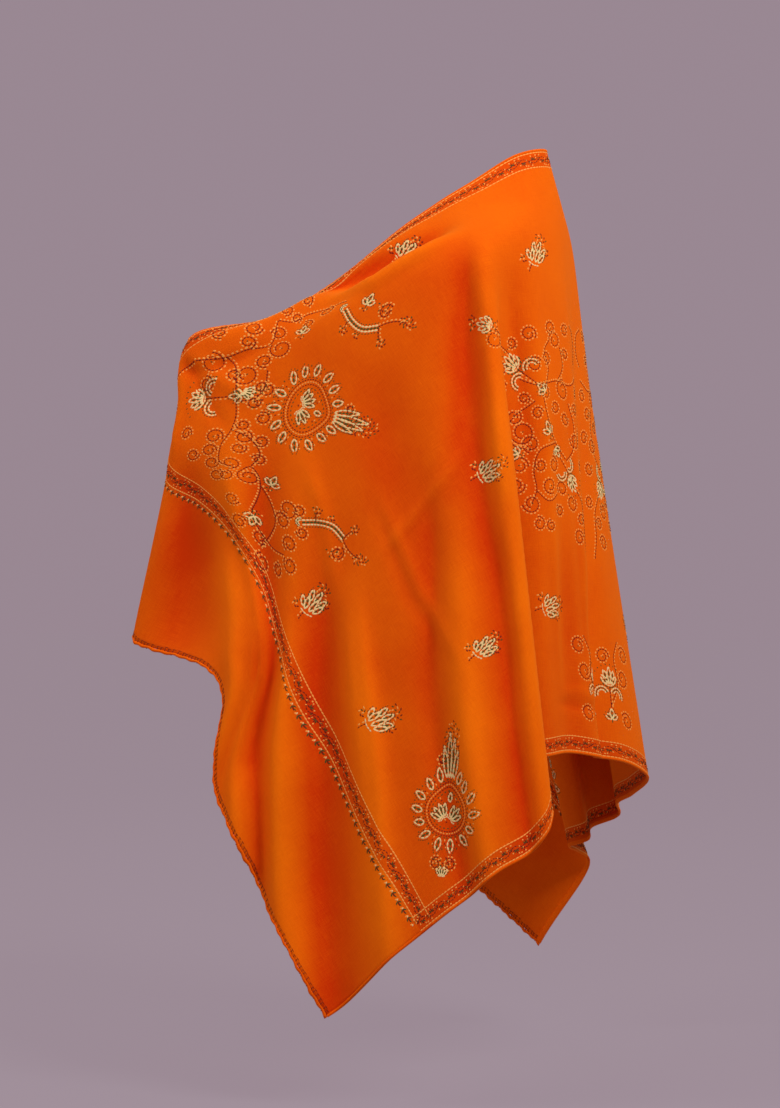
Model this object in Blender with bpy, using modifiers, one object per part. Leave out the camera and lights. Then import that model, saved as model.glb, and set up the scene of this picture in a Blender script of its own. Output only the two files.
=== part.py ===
"""Embroidered wool shawl, worn: round the nape and both shoulders, one end held out by its top edge.

The shawl is one rectangle of cloth. A point of it is named by two flat distances in metres:
along, from the centre back (0) to the held end (+1) or the other end (-1), and down, from the
top long edge (0) to the lower long edge (1). drape() gives the place of such a point in the worn
shape. +X is the wearer's left, +Y the wearer's back, +Z up, and the origin is the middle of the
shoulders, where the cloth is carried.
"""
import bmesh
import bpy
import numpy as np

CLOTH_LENGTH = 2.0
CLOTH_WIDTH = 1.0
WALL = 0.0014
SEAM_GAP = 0.0008
ROWS = 32
ROLL_RADIUS = 0.0022
ROLL_GAP = 0.0006
ROLL_REACH = 0.018
ROLL_RESOLUTION = 2
TURN_RADIUS = 0.022
TURN_DOWN_SHARE = 1.0 / 3.0
LEAST_TURN_DOWN = 0.01
NORMAL_STEP = 0.004
SEARCH_STEPS = 24
SLANT_LIMIT = 0.4
WOOL_COLOUR = (0.80, 0.13, 0.004)
THREAD_COLOUR = (0.22, 0.02, 0.008)

# Stretches of the one cloth, named for the wearer's side. Neighbours keep the seam gap.
STRETCHES = (
    # name                    from    to    columns
    ("right_end_stretch", -1.00, -0.60, 14),
    ("right_shoulder_stretch", -0.60, -0.22, 16),
    ("back_stretch", -0.22, 0.18, 17),
    ("left_shoulder_stretch", 0.18, 0.43, 15),
    ("left_side_stretch", 0.43, 0.60, 9),
    ("held_end_stretch", 0.60, 1.00, 20),
)

# The top long edge: up from the far end over the far hand and arm, round the nape, out to the
# raised hand, then back behind it.
TOP_EDGE = (
    # along     x       y       z
    (-1.00, -0.190, -0.540, -0.600),
    (-0.81, -0.200, -0.490, -0.440),
    (-0.67, -0.200, -0.420, -0.310),
    (-0.53, -0.190, -0.330, -0.200),
    (-0.39, -0.160, -0.225, -0.120),
    (-0.27, -0.135, -0.125, -0.060),
    (-0.17, -0.100, -0.050, -0.010),
    (-0.08, -0.058, 0.018, 0.038),
    (0.00, 0.000, 0.064, 0.062),
    (0.08, 0.048, 0.022, 0.050),
    (0.15, 0.075, -0.040, 0.008),
    (0.25, 0.100, -0.127, -0.045),
    (0.41, 0.105, -0.259, -0.128),
    (0.53, 0.112, -0.360, -0.188),
    (0.65, 0.120, -0.478, -0.230),
    (0.80, 0.070, -0.430, -0.370),
    (1.00, 0.035, -0.385, -0.565),
)

# The line where the cloth turns down: over both shoulders and along both arms, then down the fold
# in front of the raised hand. turn_down is its flat distance from the top edge. The folds fall from
# it in straight lines, which reach the lower edge further along by slant.
TURN_LINE = (
    # along turn_down slant  x       y       z
    (-1.00, 0.050, -0.360, -0.230, -0.530, -0.630),
    (-0.81, 0.040, -0.360, -0.235, -0.475, -0.465),
    (-0.64, 0.030, -0.360, -0.222, -0.400, -0.310),
    (-0.53, 0.060, -0.350, -0.235, -0.300, -0.240),
    (-0.39, 0.095, -0.330, -0.237, -0.180, -0.170),
    (-0.27, 0.130, -0.270, -0.228, -0.065, -0.125),
    (-0.20, 0.135, -0.180, -0.198, 0.000, -0.105),
    (-0.12, 0.125, -0.030, -0.120, 0.070, -0.065),
    (0.00, 0.120, 0.000, 0.000, 0.096, -0.055),
    (0.08, 0.125, 0.030, 0.085, 0.080, -0.055),
    (0.14, 0.135, 0.140, 0.148, 0.050, -0.065),
    (0.20, 0.160, 0.290, 0.195, 0.005, -0.088),
    (0.28, 0.145, 0.290, 0.205, -0.070, -0.105),
    (0.41, 0.100, 0.290, 0.187, -0.215, -0.163),
    (0.53, 0.050, 0.300, 0.155, -0.335, -0.196),
    (0.65, 0.020, 0.345, 0.127, -0.485, -0.240),
    (0.80, 0.120, 0.360, 0.120, -0.530, -0.435),
    (1.00, 0.245, 0.360, 0.120, -0.585, -0.690),
)

# The lower long edge, with the deep pleat behind the near panel and the tuck at centre back. The
# rows past the cloth's end only aim the folds that leave it by the short end.
LOWER_EDGE = (
    # along     x       y       z
    (-1.36, -0.400, -0.300, -1.550),
    (-1.17, -0.450, -0.120, -1.420),
    (-1.00, -0.470, -0.030, -1.240),
    (-0.80, -0.440, 0.060, -1.092),
    (-0.73, -0.390, 0.050, -1.072),
    (-0.66, -0.330, 0.045, -1.057),
    (-0.58, -0.310, 0.080, -1.042),
    (-0.50, -0.380, 0.075, -1.028),
    (-0.44, -0.385, 0.115, -1.012),
    (-0.34, -0.300, 0.130, -0.980),
    (-0.24, -0.205, 0.170, -0.955),
    (-0.14, -0.100, 0.210, -0.917),
    (-0.05, -0.015, 0.180, -0.885),
    (0.00, 0.020, 0.145, -0.877),
    (0.05, 0.045, 0.160, -0.875),
    (0.12, 0.095, 0.128, -0.864),
    (0.20, 0.145, 0.093, -0.866),
    (0.32, 0.168, -0.012, -0.885),
    (0.37, 0.200, -0.015, -0.900),
    (0.49, 0.250, 0.110, -0.935),
    (0.52, 0.262, 0.111, -0.965),
    (0.64, 0.280, 0.039, -1.031),
    (0.80, 0.280, -0.070, -1.120),
    (1.00, 0.270, -0.222, -1.253),
    (1.08, 0.282, -0.275, -1.290),
    (1.16, 0.290, -0.330, -1.350),
    (1.36, 0.270, -0.450, -1.420),
)

# Places where the cloth is pulled off the straight fall between those lines.
PULLS = (
    # along  down  along_reach  down_reach   x      y      z
    (1.00, 0.44, 0.36, 0.20, 0.030, 0.094, 0.056),
    (1.00, 0.64, 0.36, 0.20, 0.020, 0.012, 0.025),
    (0.88, 0.35, 0.20, 0.13, -0.024, 0.000, 0.000),
    (0.80, 0.30, 0.22, 0.19, 0.000, 0.016, 0.052),
    (0.42, 0.00, 0.24, 0.04, 0.000, 0.000, -0.022),
    (0.40, 0.07, 0.26, 0.05, -0.004, 0.000, -0.018),
)

# Folds: a soft ridge where depth is positive, a trough where it is negative. A fold starts on the
# fall line of its first turn_along and drifts to that of its second one at the lower edge. It
# grows between two shares of the fall and is gone again at a third (9 is past the edge: it stays).
FOLDS = (
    # from_along to_along start full   gone  width   depth
    (0.210, 0.210, 0.02, 0.50, 9.00, 0.026, 0.010),
    (0.225, 0.330, -0.05, 0.20, 0.60, 0.034, -0.016),
    (0.250, 0.280, 0.20, 0.65, 9.00, 0.028, -0.012),
    (0.310, 0.365, 0.40, 0.80, 9.00, 0.034, 0.010),
    (0.385, 0.410, 0.45, 0.80, 9.00, 0.030, -0.010),
    (0.480, 0.555, 0.35, 0.60, 9.00, 0.028, 0.012),
    (0.505, 0.640, 0.20, 0.60, 9.00, 0.035, -0.020),
    (0.490, 0.700, 0.10, 0.40, 9.00, 0.032, 0.010),
    (0.540, 0.780, 0.08, 0.35, 9.00, 0.034, -0.013),
    (0.560, 0.860, 0.05, 0.30, 9.00, 0.030, 0.012),
    (0.085, 0.085, 0.50, 0.80, 9.00, 0.022, -0.010),
)


def read_guide(guide, along):
    """Values of a guide table at the given distances along the cloth, smooth through its rows."""
    rows = np.array(guide)
    keys = rows[:, 0]
    values = rows[:, 1:]
    slopes = np.gradient(values, keys, axis=0)
    along = np.asarray(along, dtype=float)
    left = np.clip(np.searchsorted(keys, along) - 1, 0, len(keys) - 2)
    span = (keys[left + 1] - keys[left])[..., None]
    part = (along[..., None] - keys[left][..., None]) / span
    rise = part * part * (3.0 - 2.0 * part)
    lean = part * (part - 1.0)
    start = values[left] * (1.0 - rise) + slopes[left] * span * lean * (part - 1.0)
    return start + values[left + 1] * rise + slopes[left + 1] * span * lean * part


def bump(distance, reach):
    """A soft hump: 1 at no distance, 0 from the reach outward."""
    part = np.clip(np.abs(distance) / reach, 0.0, 1.0)
    return 0.5 + 0.5 * np.cos(np.pi * part)


def fall_line(along, down):
    """The line that a cloth point falls on: where it starts, and the share of it that is run."""
    low = along - SLANT_LIMIT
    high = along + SLANT_LIMIT
    for _ in range(SEARCH_STEPS):
        middle = 0.5 * (low + high)
        too_far = middle + share_run(middle, down) * read_guide(TURN_LINE, middle)[..., 1] > along
        high = np.where(too_far, middle, high)
        low = np.where(too_far, low, middle)
    return high, share_run(high, down)


def share_run(turn_along, down):
    """How far down its fall line a point is: 0 above the turn, 1 at the lower edge."""
    turn_down = np.maximum(read_guide(TURN_LINE, turn_along)[..., 0], LEAST_TURN_DOWN)
    radius = np.minimum(TURN_RADIUS, turn_down * TURN_DOWN_SHARE)
    return radius * np.logaddexp(0.0, (down - turn_down) / radius) / (CLOTH_WIDTH - turn_down)


def fall(along, down):
    """The drape without its folds: straight over the shoulder or arm, a turn, straight down."""
    turn_along, run = fall_line(along, down)
    top = read_guide(TOP_EDGE, turn_along)
    turn = read_guide(TURN_LINE, turn_along)
    low = read_guide(LOWER_EDGE, turn_along + turn[..., 1])
    turn_down = np.maximum(turn[..., :1], LEAST_TURN_DOWN)
    over = (turn[..., 2:] - top) / turn_down
    past = run[..., None] * (CLOTH_WIDTH - turn_down)
    point = top + over * (down[..., None] - past) + (low - turn[..., 2:]) * run[..., None]
    for at, low_by, along_reach, down_reach, x, y, z in PULLS:
        hump = bump(along - at, along_reach) * bump(down - low_by, down_reach)
        point = point + hump[..., None] * np.array((x, y, z))
    return point


def fold_height(along, down):
    """How far the folds lift a point off the drape, outward."""
    turn_along, run = fall_line(along, down)
    height = np.zeros_like(turn_along)
    for from_along, to_along, start, full, gone, width, depth in FOLDS:
        centre = from_along + (to_along - from_along) * run
        growing = bump(full - np.minimum(run, full), full - start)
        fading = bump(np.maximum(run, full) - full, gone - full)
        height = height + depth * growing * fading * np.exp(-((turn_along - centre) / width) ** 2)
    return height


def drape(along, down):
    """Places of cloth points in the worn shape, as an array of x, y, z."""
    along = np.asarray(along, dtype=float)
    down = np.asarray(down, dtype=float)
    step = NORMAL_STEP
    by_along = fall(along + step, down) - fall(along - step, down)
    by_down = fall(along, down + step) - fall(along, down - step)
    outward = np.cross(by_along, by_down)
    outward = outward / np.linalg.norm(outward, axis=-1, keepdims=True)
    return fall(along, down) + outward * fold_height(along, down)[..., None]


def material(name, colour, roughness):
    """A plain cloth or thread finish."""
    finish = bpy.data.materials.new(name)
    finish.use_nodes = True
    shader = finish.node_tree.nodes["Principled BSDF"]
    shader.inputs["Base Color"].default_value = (*colour, 1.0)
    shader.inputs["Roughness"].default_value = roughness
    shader.inputs["Metallic"].default_value = 0.0
    return finish


def sheet_piece(name, from_along, to_along, columns, finish, collection):
    """One stretch of the cloth: an open sheet moved into the worn shape, with a wall's thickness."""
    sheet = bmesh.new()
    bmesh.ops.create_grid(sheet, x_segments=columns, y_segments=ROWS, size=0.5)
    flat = np.array([vertex.co[:2] for vertex in sheet.verts]) + 0.5
    length = to_along - from_along - SEAM_GAP
    places = drape(from_along + 0.5 * SEAM_GAP + flat[:, 0] * length, flat[:, 1] * CLOTH_WIDTH)
    for vertex, place in zip(sheet.verts, places):
        vertex.co = place
    mesh = bpy.data.meshes.new(name)
    sheet.to_mesh(mesh)
    sheet.free()
    mesh.materials.append(finish)
    mesh.shade_smooth()
    stretch = bpy.data.objects.new(name, mesh)
    collection.objects.link(stretch)
    wall = stretch.modifiers.new("Wall", "SOLIDIFY")
    wall.thickness = WALL
    wall.offset = 0.0
    return stretch


def hem_roll(name, end, finish, collection):
    """The rolled hem of a short end: a thin tube along it, just past the cloth."""
    down = np.linspace(0.0, CLOTH_WIDTH, ROWS + 1)
    along = np.full(ROWS + 1, end * 0.5 * CLOTH_LENGTH)
    edge = drape(along, down)
    run = np.gradient(edge, axis=0)
    run = run / np.linalg.norm(run, axis=-1, keepdims=True)
    away = edge - drape(along - end * ROLL_REACH, down)
    away = away - run * np.sum(away * run, axis=-1, keepdims=True)
    away = away / np.linalg.norm(away, axis=-1, keepdims=True)
    places = edge + away * (ROLL_RADIUS + ROLL_GAP)
    curve = bpy.data.curves.new(name, "CURVE")
    curve.dimensions = "3D"
    curve.bevel_depth = ROLL_RADIUS
    curve.bevel_resolution = ROLL_RESOLUTION
    curve.use_fill_caps = True
    line = curve.splines.new("POLY")
    line.points.add(ROWS)
    for point, place in zip(line.points, places):
        point.co = (*place, 1.0)
    curve.materials.append(finish)
    roll = bpy.data.objects.new(name, curve)
    collection.objects.link(roll)
    return roll


def main():
    """Build the shawl's stretches and its two rolled hems."""
    for old in list(bpy.data.objects):
        bpy.data.objects.remove(old, do_unlink=True)
    shawl = bpy.data.collections.new("wool_shawl")
    bpy.context.scene.collection.children.link(shawl)
    wool = material("Orange wool", WOOL_COLOUR, 0.8)
    thread = material("Dark red overcast thread", THREAD_COLOUR, 0.7)
    for name, from_along, to_along, columns in STRETCHES:
        sheet_piece(name, from_along, to_along, columns, wool, shawl)
    hem_roll("held_end_hem_roll", 1, thread, shawl)
    hem_roll("right_end_hem_roll", -1, thread, shawl)


main()
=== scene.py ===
import math
import random

import bmesh
import bpy
import numpy as np
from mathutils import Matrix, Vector


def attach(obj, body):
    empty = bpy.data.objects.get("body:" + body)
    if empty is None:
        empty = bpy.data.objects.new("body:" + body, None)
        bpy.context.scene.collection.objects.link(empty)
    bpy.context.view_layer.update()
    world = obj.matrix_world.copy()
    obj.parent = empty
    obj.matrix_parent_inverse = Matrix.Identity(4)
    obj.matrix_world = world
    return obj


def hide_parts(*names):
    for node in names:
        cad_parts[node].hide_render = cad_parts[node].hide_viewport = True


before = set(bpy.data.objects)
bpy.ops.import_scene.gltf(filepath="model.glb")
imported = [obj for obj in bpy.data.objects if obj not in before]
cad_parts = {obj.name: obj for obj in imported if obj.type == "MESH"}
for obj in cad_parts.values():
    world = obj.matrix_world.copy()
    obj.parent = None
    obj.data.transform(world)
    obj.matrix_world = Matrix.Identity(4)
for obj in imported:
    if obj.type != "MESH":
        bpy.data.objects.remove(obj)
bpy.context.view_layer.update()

# Embroidered wool shawl in its worn, hollow form, with one end held out by its top edge.
# A point of the cloth has two flat distances in metres: along, from the centre back (0) to the held
# end (1) or the other end (-1), and down, from the top long edge (0) to the lower one (1).
# The guides repeat the CAD part's, so the fine cloth lies where its stretches are.

mm = 0.001  # creases, motifs and the border are in mm, all else is in metres
cloth = {
    "length": 2.0,
    "width": 1.0,
    "columns": 272,
    "rows": 136,
    "thickness": 0.0016,
    "turnRadius": 0.022,
    "leastTurn": 0.01,
    "slantLimit": 0.4,
    "searchSteps": 24,
    "normalStep": 0.004,
    "creaseFull": 0.18,  # each side of a crease's middle, as a share of its length
    "creaseFade": 0.33,
}

# along, x, y, z
topEdge = (
    (-1.00, -0.190, -0.540, -0.600),
    (-0.81, -0.200, -0.490, -0.440),
    (-0.67, -0.200, -0.420, -0.310),
    (-0.53, -0.190, -0.330, -0.200),
    (-0.39, -0.160, -0.225, -0.120),
    (-0.27, -0.135, -0.125, -0.060),
    (-0.17, -0.100, -0.050, -0.010),
    (-0.08, -0.058, 0.018, 0.038),
    (0.00, 0.000, 0.064, 0.062),
    (0.08, 0.048, 0.022, 0.050),
    (0.15, 0.075, -0.040, 0.008),
    (0.25, 0.100, -0.127, -0.045),
    (0.41, 0.105, -0.259, -0.128),
    (0.53, 0.112, -0.360, -0.188),
    (0.65, 0.120, -0.478, -0.230),
    (0.80, 0.070, -0.430, -0.370),
    (1.00, 0.035, -0.385, -0.565),
)

# along, how far down the cloth turns, how much further along its fall lines end, x, y, z
turnLine = (
    (-1.00, 0.050, -0.360, -0.230, -0.530, -0.630),
    (-0.81, 0.040, -0.360, -0.235, -0.475, -0.465),
    (-0.64, 0.030, -0.360, -0.222, -0.400, -0.310),
    (-0.53, 0.060, -0.350, -0.235, -0.300, -0.240),
    (-0.39, 0.095, -0.330, -0.237, -0.180, -0.170),
    (-0.27, 0.130, -0.270, -0.228, -0.065, -0.125),
    (-0.20, 0.135, -0.180, -0.198, 0.000, -0.105),
    (-0.12, 0.125, -0.030, -0.120, 0.070, -0.065),
    (0.00, 0.120, 0.000, 0.000, 0.096, -0.055),
    (0.08, 0.125, 0.030, 0.085, 0.080, -0.055),
    (0.14, 0.135, 0.140, 0.148, 0.050, -0.065),
    (0.20, 0.160, 0.290, 0.195, 0.005, -0.088),
    (0.28, 0.145, 0.290, 0.205, -0.070, -0.105),
    (0.41, 0.100, 0.290, 0.187, -0.215, -0.163),
    (0.53, 0.050, 0.300, 0.155, -0.335, -0.196),
    (0.65, 0.020, 0.345, 0.127, -0.485, -0.240),
    (0.80, 0.120, 0.360, 0.120, -0.530, -0.435),
    (1.00, 0.245, 0.360, 0.120, -0.585, -0.690),
)

# along, x, y, z; the rows past the cloth's ends only aim the folds that leave it by a short end
lowerEdge = (
    (-1.36, -0.400, -0.300, -1.550),
    (-1.17, -0.450, -0.120, -1.420),
    (-1.00, -0.470, -0.030, -1.240),
    (-0.80, -0.440, 0.060, -1.092),
    (-0.73, -0.390, 0.050, -1.072),
    (-0.66, -0.330, 0.045, -1.057),
    (-0.58, -0.310, 0.080, -1.042),
    (-0.50, -0.380, 0.075, -1.028),
    (-0.44, -0.385, 0.115, -1.012),
    (-0.34, -0.300, 0.130, -0.980),
    (-0.24, -0.205, 0.170, -0.955),
    (-0.14, -0.100, 0.210, -0.917),
    (-0.05, -0.015, 0.180, -0.885),
    (0.00, 0.020, 0.145, -0.877),
    (0.05, 0.045, 0.160, -0.875),
    (0.12, 0.095, 0.128, -0.864),
    (0.20, 0.145, 0.093, -0.866),
    (0.32, 0.168, -0.012, -0.885),
    (0.37, 0.200, -0.015, -0.900),
    (0.49, 0.250, 0.110, -0.935),
    (0.52, 0.262, 0.111, -0.965),
    (0.64, 0.280, 0.039, -1.031),
    (0.80, 0.280, -0.070, -1.120),
    (1.00, 0.270, -0.222, -1.253),
    (1.08, 0.282, -0.275, -1.290),
    (1.16, 0.290, -0.330, -1.350),
    (1.36, 0.270, -0.450, -1.420),
)

# along, down, along reach, down reach, then how far the cloth is pulled off its fall: x, y, z
pulls = (
    (1.00, 0.44, 0.36, 0.20, 0.030, 0.094, 0.056),
    (1.00, 0.64, 0.36, 0.20, 0.020, 0.012, 0.025),
    (0.88, 0.35, 0.20, 0.13, -0.024, 0.000, 0.000),
    (0.80, 0.30, 0.22, 0.19, 0.000, 0.016, 0.052),
    (0.42, 0.00, 0.24, 0.04, 0.000, 0.000, -0.022),
    (0.40, 0.07, 0.26, 0.05, -0.004, 0.000, -0.018),
    (0.71, 0.07, 0.09, 0.08, 0.000, 0.012, 0.000),  # finer than the CAD's: the gathers at the held place
)

# fall line at the turn, fall line at the lower edge, shares of the fall where the fold starts, is
# full and is gone (9: it stays to the edge), width, depth (a ridge above 0, a trough below)
mainFolds = (
    (0.210, 0.210, 0.02, 0.50, 9.00, 0.026, 0.010),
    (0.225, 0.330, -0.05, 0.20, 0.60, 0.034, -0.016),
    (0.250, 0.280, 0.20, 0.65, 9.00, 0.028, -0.012),
    (0.310, 0.365, 0.40, 0.80, 9.00, 0.034, 0.010),
    (0.385, 0.410, 0.45, 0.80, 9.00, 0.030, -0.010),
    (0.480, 0.555, 0.35, 0.60, 9.00, 0.028, 0.012),
    (0.505, 0.640, 0.20, 0.60, 9.00, 0.035, -0.020),
    (0.490, 0.700, 0.10, 0.40, 9.00, 0.032, 0.010),
    (0.540, 0.780, 0.08, 0.35, 9.00, 0.034, -0.013),
    (0.560, 0.860, 0.05, 0.30, 9.00, 0.030, 0.012),
    (0.085, 0.085, 0.50, 0.80, 9.00, 0.022, -0.010),
)

# Creases finer than the guides' folds: width, depth, then the places along and down that they follow
creases = (
    (14, 9, (480, 40), (422, 55), (393, 80), (362, 113), (285, 123), (190, 106)),
    (16, -18, (470, 18), (427, 32), (383, 46), (340, 56), (263, 76), (200, 78)),
    (10, -5, (690, 30), (645, 72), (600, 82), (540, 74)),
    (10, 4, (655, 20), (640, 80), (610, 170)),
    (9, -4, (662, 20), (668, 90), (665, 190)),
    (10, 5, (668, 20), (710, 80), (770, 150)),
    (20, -8, (200, 110), (265, 220), (305, 283), (343, 347), (395, 427), (450, 500)),
    (18, 10, (185, 120), (235, 230), (263, 303), (297, 390), (338, 490), (370, 570)),
    (22, 12, (740, 420), (780, 497), (845, 613), (907, 690), (975, 805), (1060, 960)),
    (30, -6, (570, 350), (665, 490), (728, 577), (800, 700), (870, 820)),
    (11, 4, (600, 450), (675, 613), (718, 713), (755, 793), (853, 973), (880, 1030)),
    (22, -13, (740, 300), (820, 427), (883, 505), (912, 583), (980, 690)),
    (26, 10, (790, 300), (880, 380), (950, 435), (988, 520), (1030, 620)),
    (42, -15, (730, 150), (828, 255), (870, 295), (920, 318), (1060, 360)),
    (18, -6, (430, 390), (497, 540), (557, 640), (610, 740)),
    (24, 8, (420, 480), (500, 653), (578, 817), (670, 1030)),
    (45, -7, (430, 180), (470, 380), (515, 530), (560, 650)),
    (28, -7, (30, 680), (30, 840), (32, 1030)),
    (16, -6, (380, 540), (443, 717), (490, 820)),
    (14, 4, (590, 250), (620, 380), (680, 520)),
    (9, 3, (350, 415), (420, 447), (473, 460), (600, 488)),
    (9, 3, (515, 380), (535, 560), (530, 740)),
    (10, -2, (530, 370), (555, 560), (552, 700)),
    (6, -2.5, (20, 928), (60, 918), (100, 924), (170, 915)),
    (6, 2, (40, 905), (90, 896), (140, 902)),
    (12, -5, (168, 200), (168, 383), (172, 640)),
    (12, 4, (125, 200), (130, 500), (140, 980)),
    (12, -4, (60, 220), (66, 600), (70, 1030)),
)


def readGuide(guide, along):
    rows = np.array(guide)
    keys = rows[:, 0]
    values = rows[:, 1:]
    slopes = np.gradient(values, keys, axis=0)
    left = np.clip(np.searchsorted(keys, along) - 1, 0, len(keys) - 2)
    span = (keys[left + 1] - keys[left])[..., None]
    part = (along[..., None] - keys[left][..., None]) / span
    rise = part * part * (3.0 - 2.0 * part)
    lean = part * (part - 1.0)
    start = values[left] * (1.0 - rise) + slopes[left] * span * lean * (part - 1.0)
    return start + values[left + 1] * rise + slopes[left + 1] * span * lean * part


def unitLong(vectors):
    return vectors / np.maximum(np.linalg.norm(vectors, axis=-1, keepdims=True), 1e-9)


def bump(distance, reach):  # 1 at no distance, 0 from the reach outward
    part = np.clip(np.abs(distance) / reach, 0.0, 1.0)
    return 0.5 + 0.5 * np.cos(np.pi * part)


def shareRun(turnAlong, down):  # how far down its fall line a point is
    turnDown = np.maximum(readGuide(turnLine, turnAlong)[..., 0], cloth["leastTurn"])
    radius = np.minimum(cloth["turnRadius"], turnDown / 3.0)
    return radius * np.logaddexp(0.0, (down - turnDown) / radius) / (cloth["width"] - turnDown)


def fallLine(along, down):
    low, high = along - cloth["slantLimit"], along + cloth["slantLimit"]
    for _ in range(cloth["searchSteps"]):
        middle = 0.5 * (low + high)
        tooFar = middle + shareRun(middle, down) * readGuide(turnLine, middle)[..., 1] > along
        high = np.where(tooFar, middle, high)
        low = np.where(tooFar, low, middle)
    return high, shareRun(high, down)


def fall(along, down):  # straight from the top edge to the turn, then straight down
    turnAlong, run = fallLine(along, down)
    top = readGuide(topEdge, turnAlong)
    turn = readGuide(turnLine, turnAlong)
    low = readGuide(lowerEdge, turnAlong + turn[..., 1])
    turnDown = np.maximum(turn[..., :1], cloth["leastTurn"])
    over = (turn[..., 2:] - top) / turnDown
    past = run[..., None] * (cloth["width"] - turnDown)
    point = top + over * (down[..., None] - past) + (low - turn[..., 2:]) * run[..., None]
    for at, lowBy, alongReach, downReach, x, y, z in pulls:
        hump = bump(along - at, alongReach) * bump(down - lowBy, downReach)
        point = point + hump[..., None] * np.array((x, y, z))
    return point


def foldHeight(along, down):
    turnAlong, run = fallLine(along, down)
    height = np.zeros_like(turnAlong)
    for fromAlong, toAlong, start, full, gone, width, depth in mainFolds:
        centre = fromAlong + (toAlong - fromAlong) * run
        growing = bump(full - np.minimum(run, full), full - start)
        fading = bump(np.maximum(run, full) - full, gone - full)
        height = height + depth * growing * fading * np.exp(-((turnAlong - centre) / width) ** 2)
    for width, depth, *spots in creases:
        line = mm * np.array(spots)
        spans = np.hypot(*np.diff(line, axis=0).T)
        nearest, part, passed = np.full_like(height, np.inf), np.zeros_like(height), 0.0
        for start, end, span in zip(line, line[1:], spans):
            aimAlong, aimDown = (end - start) / span
            reach = np.clip((along - start[0]) * aimAlong + (down - start[1]) * aimDown, 0.0, span)
            off = np.hypot(along - start[0] - reach * aimAlong, down - start[1] - reach * aimDown)
            part = np.where(off < nearest, (passed + reach) / spans.sum(), part)
            nearest = np.minimum(off, nearest)
            passed += span
        fade = bump(np.maximum(np.abs(part - 0.5) - cloth["creaseFull"], 0.0), cloth["creaseFade"])
        height = height + mm * depth * fade * np.exp(-(nearest / (mm * width)) ** 2)
    return height


def drape(along, down):
    step = cloth["normalStep"]
    byAlong = fall(along + step, down) - fall(along - step, down)
    byDown = fall(along, down + step) - fall(along, down - step)
    return fall(along, down) + unitLong(np.cross(byAlong, byDown)) * foldHeight(along, down)[..., None]


print("camera, floor and lights")
studio = {
    "camera": (4.9125, 0.9494, -0.450),
    "aim": (0.0405, -0.1754, -0.564),
    "lens": 104.13,
    "clipEnd": 60.0,
    "floor": -1.400,
    "floorHalf": 14.0,
    "floorColour": (0.050, 0.046, 0.049),
    "floorGlow": 0.96,
    "backColour": (0.32, 0.245, 0.29),
    "ambient": (0.30, 0.28, 0.29),
    "ambientLight": 0.80,
    "lightsAim": (0.0, -0.1, -0.6),
    "lights": (  # place, side of the square in metres, watts
        ((1.90, 2.20, 2.00), 1.3, 134.0),
        ((2.00, -2.60, 1.70), 1.2, 62.0),
        ((-3.20, -1.20, 1.40), 2.4, 12.0),
    ),
}
scene = bpy.context.scene
scene.view_settings.view_transform = "Standard"


def setInputs(tree, node, inputs):  # each is a number, a colour or another node's output
    for name, value in inputs.items():
        socket = node.inputs[name]
        if isinstance(value, bpy.types.NodeSocket):
            tree.links.new(value, socket)
        else:
            socket.default_value = (*value, 1.0) if socket.type == "RGBA" else value


def newNode(tree, kind, inputs=None):
    node = tree.nodes.new(kind)
    setInputs(tree, node, inputs or {})
    return node


def newFinish(name):
    finish = bpy.data.materials.new(name)
    finish.use_nodes = True
    return finish, finish.node_tree, finish.node_tree.nodes["Principled BSDF"]


def newObject(name, shape, finish):
    mesh = bpy.data.meshes.new(name)
    shape.to_mesh(mesh)
    shape.free()
    mesh.materials.append(finish)
    mesh.shade_smooth()
    made = bpy.data.objects.new(name, mesh)
    scene.collection.objects.link(made)
    return made


def lookFrom(thing, place, aim):
    thing.location = place
    thing.rotation_euler = (Vector(aim) - Vector(place)).to_track_quat("-Z", "Y").to_euler()
    scene.collection.objects.link(thing)


cameraData = bpy.data.cameras.new("camera")
cameraData.lens = studio["lens"]
cameraData.clip_end = studio["clipEnd"]
camera = bpy.data.objects.new("camera", cameraData)
lookFrom(camera, studio["camera"], studio["aim"])
scene.camera = camera

for number, (place, side, watts) in enumerate(studio["lights"]):
    lampData = bpy.data.lights.new(f"softLight{number}", "AREA")
    lampData.size = side
    lampData.energy = watts
    lookFrom(bpy.data.objects.new(f"softLight{number}", lampData), place, studio["lightsAim"])

scene.world = bpy.data.worlds.new("studio")
scene.world.use_nodes = True
around = scene.world.node_tree
sky = around.nodes["Background"]
setInputs(around, sky, {"Color": studio["ambient"], "Strength": studio["ambientLight"]})
# only the camera sees the backdrop; the light comes from the sky
backdrop = newNode(around, "ShaderNodeBackground", {"Color": studio["backColour"]})
seen = newNode(around, "ShaderNodeLightPath").outputs["Is Camera Ray"]
either = newNode(around, "ShaderNodeMixShader", {0: seen, 1: sky.outputs[0], 2: backdrop.outputs[0]})
setInputs(around, around.nodes["World Output"], {"Surface": either.outputs[0]})

paper, paperTree, paperShader = newFinish("paperFloor")
setInputs(paperTree, paperShader, {
    "Base Color": studio["floorColour"],
    "Roughness": 1.0,
    "Specular IOR Level": 0.0,
    "Emission Color": studio["backColour"],
    "Emission Strength": studio["floorGlow"],
})
floorShape = bmesh.new()
bmesh.ops.create_grid(floorShape, x_segments=1, y_segments=1, size=studio["floorHalf"])
bmesh.ops.translate(floorShape, verts=floorShape.verts, vec=(0.0, 0.0, studio["floor"]))
floor = newObject("floor", floorShape, paper)

print("materials")


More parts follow.
